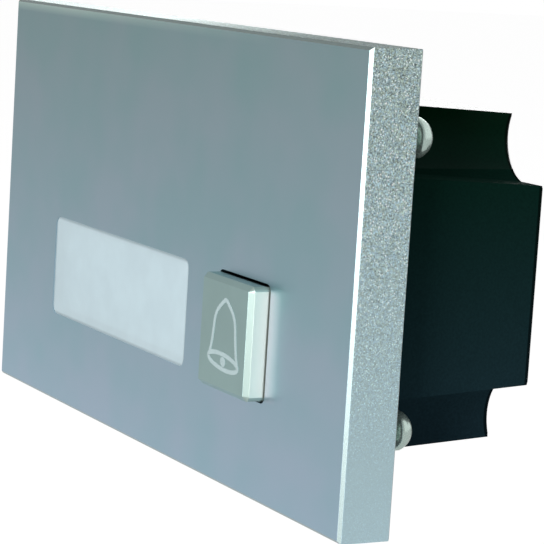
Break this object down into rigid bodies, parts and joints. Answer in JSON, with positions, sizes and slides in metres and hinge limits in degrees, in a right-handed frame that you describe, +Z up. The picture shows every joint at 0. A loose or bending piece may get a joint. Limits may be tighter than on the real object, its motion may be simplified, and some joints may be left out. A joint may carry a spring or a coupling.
{
  "type": "intercom button module",
  "caption": "Wall-mounted intercom call module: thick metal front plate with a lit name window and a square push button, and a notched black housing behind it.",
  "frame": {"origin": "centre of the plane that the plate's rim rests on", "axes": "+X to the right as seen from the front, +Y into the wall, +Z up"},
  "size_m": [0.113, 0.0359, 0.062],
  "materials": {
    "satin_aluminium": "satin anodised, sand-blasted rim",
    "button_metal": "satin anodised",
    "window_clear": "translucent, glossy",
    "card_white": "matt",
    "guide_opal": "opal",
    "black_plastic": "satin moulded",
    "carrier_plastic": "matt moulded",
    "seal_rubber": "soft",
    "screw_chrome": "bright plated",
    "nut_steel": "zinc plated",
    "board_green": "solder resist",
    "component_black": "moulded epoxy",
    "led_yellow_white": "resin",
    "capacitor_sleeve": "shrink sleeve",
    "terminal_green": "moulded",
    "plunger_plastic": "moulded"
  },
  "bodies": {
    "module": {"front_plate": "satin_aluminium", "name_window": "window_clear", "name_card": "card_white", "light_guide": "guide_opal", "front_carrier": "carrier_plastic", "switch_body": "component_black", "circuit_board": "board_green", "name_led_1": "led_yellow_white", "name_led_2": "led_yellow_white", "name_led_3": "led_yellow_white", "bridge_rectifier": "component_black", "driver_chip": "component_black", "smoothing_capacitor": "capacitor_sleeve", "chip_resistors": "component_black", "terminal_block": "terminal_green", "terminal_screws": "nut_steel", "bus_header": "component_black", "rear_housing": "black_plastic", "back_cover": "black_plastic", "mounting_flange": "black_plastic", "housing_gasket": "seal_rubber", "mounting_screws": "screw_chrome", "mounting_nuts": "nut_steel", "board_screws": "nut_steel"},
    "button": {"button_cap": "button_metal", "button_seal": "seal_rubber"},
    "plunger": {"switch_plunger": "plunger_plastic"}
  },
  "joints": [
    {"name": "button_press", "type": "slide", "parent": "module", "child": "button", "axis": [0, 1, 0], "range_m": [0, 0.001], "stiffness_N_per_m": 1500, "springref_m": -0.0005},
    {"name": "plunger_travel", "type": "slide", "parent": "module", "child": "plunger", "axis": [0, 1, 0], "range_m": [0, 0.001]}
  ],
  "couplings": [
    {"joint": "plunger_travel", "follows": "button_press", "ratio": 1}
  ]
}
